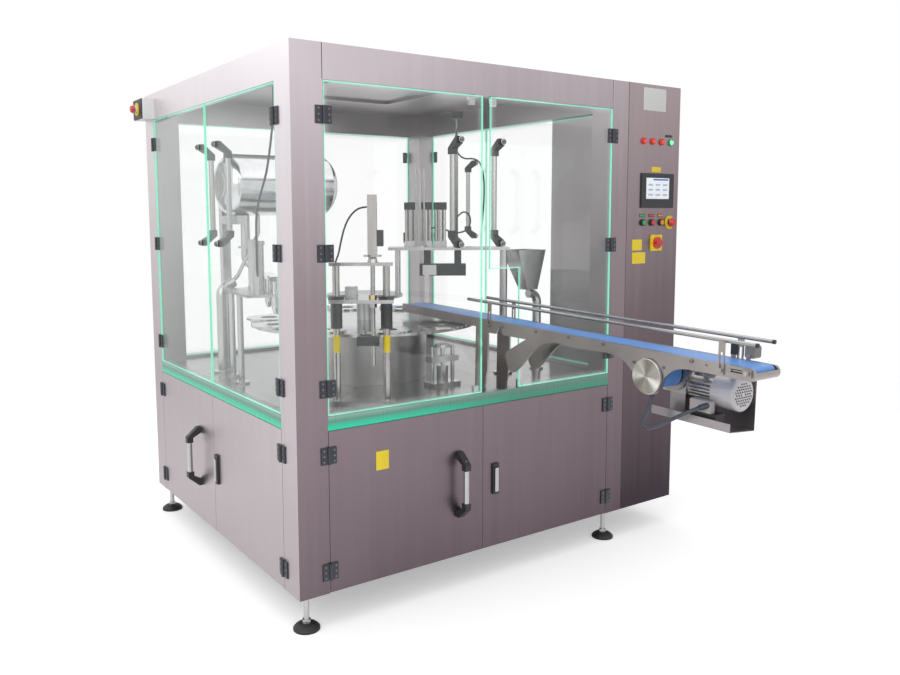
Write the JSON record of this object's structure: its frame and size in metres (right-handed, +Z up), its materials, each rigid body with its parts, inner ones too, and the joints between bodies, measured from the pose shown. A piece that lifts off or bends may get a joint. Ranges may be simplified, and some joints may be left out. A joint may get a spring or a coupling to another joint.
{
  "type": "rotary cup filling machine",
  "caption": "Enclosed rotary turntable cup filler with glass guard doors, filling and lid stations, control cabinet, levelling feet and an outfeed belt conveyor.",
  "frame": {"origin": "on the floor, below the middle of the whole machine's box, free cable left out", "axes": "+Z up, the operator's front faces -Y and the conveyor runs out along -Y, +X runs right along the front towards the control cabinet"},
  "size_m": [2.04, 2.7618, 2.03],
  "materials": {
    "brushed_panels": "brushed stainless sheet",
    "turned_steel": "turned and ground stainless",
    "polished_drum": "polished stainless",
    "door_glass": "clear tempered glass with green edges",
    "dark_plastic": "glass filled nylon",
    "red_plastic": "gloss",
    "green_plastic": "gloss",
    "orange_plastic": "gloss",
    "belt": "blue conveyor belt",
    "motor_paint": "silver grey paint over ribbed aluminium",
    "grey_plastic": "light grey housing",
    "cable_sheath": "blue grey conduit"
  },
  "bodies": {
    "machine": {"bridge_frame": "turned_steel", "bridge_units": "turned_steel", "cabinet_frame": "brushed_panels", "control_cabinet": "brushed_panels", "conveyor_belt": "belt", "deck_plate": "brushed_panels", "filling_frame": "turned_steel", "gear_motor": "motor_paint", "guide_rails": "turned_steel", "hinge_pins": "dark_plastic", "index_drive": "motor_paint", "levelling_feet": "brushed_panels", "lifter_base": "turned_steel", "lower_covers": "brushed_panels", "motor_cable": "cable_sheath", "motor_tray": "brushed_panels", "panel_fittings": "grey_plastic", "press_columns": "turned_steel", "product_tank": "polished_drum", "right_fixed_pane": "door_glass", "roof_and_fascia": "brushed_panels", "side_plates": "brushed_panels", "slider_bed": "turned_steel", "stop_station": "grey_plastic", "tank_stand": "turned_steel", "touch_screen": "dark_plastic", "turret_drum": "polished_drum", "waste_chute": "turned_steel", "worm_gearbox": "motor_paint"},
    "front_glass_left": {"front_glass_left": "door_glass"},
    "front_glass_right": {"front_glass_right": "door_glass"},
    "left_glass_rear": {"left_glass_rear": "door_glass"},
    "left_glass_front": {"left_glass_front": "door_glass"},
    "rear_glass_right": {"rear_glass_right": "door_glass"},
    "rear_glass_left": {"rear_glass_left": "door_glass"},
    "right_glass_rear": {"right_glass_rear": "door_glass"},
    "front_lower_left": {"front_lower_left": "brushed_panels"},
    "front_lower_right": {"front_lower_right": "brushed_panels"},
    "left_lower_rear": {"left_lower_rear": "brushed_panels"},
    "left_lower_front": {"left_lower_front": "brushed_panels"},
    "lock_lever_front": {"lock_lever_front": "polished_drum"},
    "lock_lever_left": {"lock_lever_left": "polished_drum"},
    "green_button": {"green_button": "green_plastic"},
    "red_button": {"red_button": "red_plastic"},
    "orange_button": {"orange_button": "orange_plastic"},
    "emergency_stop_front": {"emergency_stop_front": "red_plastic"},
    "emergency_stop_rear": {"emergency_stop_rear": "red_plastic"},
    "isolator_knob": {"isolator_knob": "red_plastic"},
    "turntable": {"turntable": "turned_steel", "cup_holders": "turned_steel"},
    "drive_drum": {"drive_drum": "turned_steel"},
    "tail_roller": {"tail_roller": "turned_steel"},
    "nose_roller": {"nose_roller": "turned_steel"},
    "motor_fan": {"motor_fan": "dark_plastic"},
    "press_crosshead": {"press_crosshead": "turned_steel", "press_ram": "turned_steel"},
    "transfer_arm": {"transfer_arm": "turned_steel"},
    "cup_lifter": {"cup_lifter": "turned_steel"},
    "filling_nozzles": {"filling_nozzles": "polished_drum"}
  },
  "joints": [
    {"name": "front_glass_left_hinge", "type": "hinge", "parent": "machine", "child": "front_glass_left", "pos_m": [-0.808, -0.22988, 0.83], "axis": [0, 0, 1], "range_deg": [-110, 0]},
    {"name": "front_glass_right_hinge", "type": "hinge", "parent": "machine", "child": "front_glass_right", "pos_m": [0.575, -0.22988, 0.83], "axis": [0, 0, 1], "range_deg": [0, 100]},
    {"name": "left_glass_rear_hinge", "type": "hinge", "parent": "machine", "child": "left_glass_rear", "pos_m": [-0.9354, 1.24752, 0.83], "axis": [0, 0, 1], "range_deg": [-110, 0]},
    {"name": "left_glass_front_hinge", "type": "hinge", "parent": "machine", "child": "left_glass_front", "pos_m": [-0.9354, -0.10248, 0.83], "axis": [0, 0, 1], "range_deg": [0, 110]},
    {"name": "rear_glass_right_hinge", "type": "hinge", "parent": "machine", "child": "rear_glass_right", "pos_m": [0.575, 1.37492, 0.83], "axis": [0, 0, 1], "range_deg": [-110, 0]},
    {"name": "rear_glass_left_hinge", "type": "hinge", "parent": "machine", "child": "rear_glass_left", "pos_m": [-0.808, 1.37492, 0.83], "axis": [0, 0, 1], "range_deg": [0, 110]},
    {"name": "right_glass_rear_hinge", "type": "hinge", "parent": "machine", "child": "right_glass_rear", "pos_m": [0.6814, 1.24752, 0.83], "axis": [0, 0, 1], "range_deg": [0, 110]},
    {"name": "front_lower_left_hinge", "type": "hinge", "parent": "machine", "child": "front_lower_left", "pos_m": [-0.808, -0.22988, 0.83], "axis": [0, 0, 1], "range_deg": [-110, 0]},
    {"name": "front_lower_right_hinge", "type": "hinge", "parent": "machine", "child": "front_lower_right", "pos_m": [0.575, -0.22988, 0.83], "axis": [0, 0, 1], "range_deg": [0, 110]},
    {"name": "left_lower_rear_hinge", "type": "hinge", "parent": "machine", "child": "left_lower_rear", "pos_m": [-0.9354, 1.24752, 0.83], "axis": [0, 0, 1], "range_deg": [-110, 0]},
    {"name": "left_lower_front_hinge", "type": "hinge", "parent": "machine", "child": "left_lower_front", "pos_m": [-0.9354, -0.10248, 0.83], "axis": [0, 0, 1], "range_deg": [0, 110]},
    {"name": "lock_lever_front_swing", "type": "hinge", "parent": "front_lower_right", "child": "lock_lever_front", "pos_m": [-0.062, -0.23348, 0.453], "axis": [1, 0, 0], "range_deg": [-60, 0]},
    {"name": "lock_lever_left_swing", "type": "hinge", "parent": "left_lower_front", "child": "lock_lever_left", "pos_m": [-0.939, 0.53452, 0.453], "axis": [0, 1, 0], "range_deg": [0, 60]},
    {"name": "green_button_press", "type": "slide", "parent": "machine", "child": "green_button", "axis": [0, 1, 0], "range_m": [0, 0.0035], "stiffness_N_per_m": 400},
    {"name": "red_button_press", "type": "slide", "parent": "machine", "child": "red_button", "axis": [0, 1, 0], "range_m": [0, 0.0035], "stiffness_N_per_m": 400},
    {"name": "orange_button_press", "type": "slide", "parent": "machine", "child": "orange_button", "axis": [0, 1, 0], "range_m": [0, 0.0035], "stiffness_N_per_m": 400},
    {"name": "emergency_stop_front_press", "type": "slide", "parent": "machine", "child": "emergency_stop_front", "axis": [0, 1, 0], "range_m": [0, 0.004], "stiffness_N_per_m": 800},
    {"name": "emergency_stop_rear_press", "type": "slide", "parent": "machine", "child": "emergency_stop_rear", "axis": [1, 0, 0], "range_m": [0, 0.004], "stiffness_N_per_m": 800},
    {"name": "isolator_turn", "type": "hinge", "parent": "machine", "child": "isolator_knob", "pos_m": [0.866, -0.23348, 1.335], "axis": [0, -1, 0], "range_deg": [0, 90]},
    {"name": "turntable_index", "type": "hinge", "parent": "machine", "child": "turntable", "pos_m": [-0.259, 0.45652, 0.996], "axis": [0, 0, 1], "continuous": true},
    {"name": "drive_drum_spin", "type": "hinge", "parent": "machine", "child": "drive_drum", "pos_m": [-0.017, -1.00173, 0.95104], "axis": [1, 0, 0], "continuous": true},
    {"name": "tail_roller_spin", "type": "hinge", "parent": "machine", "child": "tail_roller", "pos_m": [-0.017, -1.35701, 1.01423], "axis": [1, 0, 0], "continuous": true},
    {"name": "nose_roller_spin", "type": "hinge", "parent": "machine", "child": "nose_roller", "pos_m": [-0.017, 0.40867, 1.04814], "axis": [1, 0, 0], "continuous": true},
    {"name": "motor_fan_spin", "type": "hinge", "parent": "machine", "child": "motor_fan", "pos_m": [0.099, -1.16995, 0.9088], "axis": [0, -0.9998, -0.0192], "continuous": true},
    {"name": "press_stroke", "type": "slide", "parent": "machine", "child": "press_crosshead", "axis": [0, 0, 1], "range_m": [-0.06, 0.075]},
    {"name": "transfer_stroke", "type": "slide", "parent": "machine", "child": "transfer_arm", "axis": [0.8251, -0.565, 0], "range_m": [0, 0.09]},
    {"name": "lifter_stroke", "type": "slide", "parent": "machine", "child": "cup_lifter", "axis": [0, 0, 1], "range_m": [0, 0.045]},
    {"name": "nozzle_stroke", "type": "slide", "parent": "machine", "child": "filling_nozzles", "axis": [0, 0, 1], "range_m": [-0.04, 0]}
  ],
  "couplings": [
    {"joint": "tail_roller_spin", "follows": "drive_drum_spin", "ratio": 3.5},
    {"joint": "nose_roller_spin", "follows": "drive_drum_spin", "ratio": 3.5},
    {"joint": "motor_fan_spin", "follows": "drive_drum_spin", "ratio": 20}
  ]
}
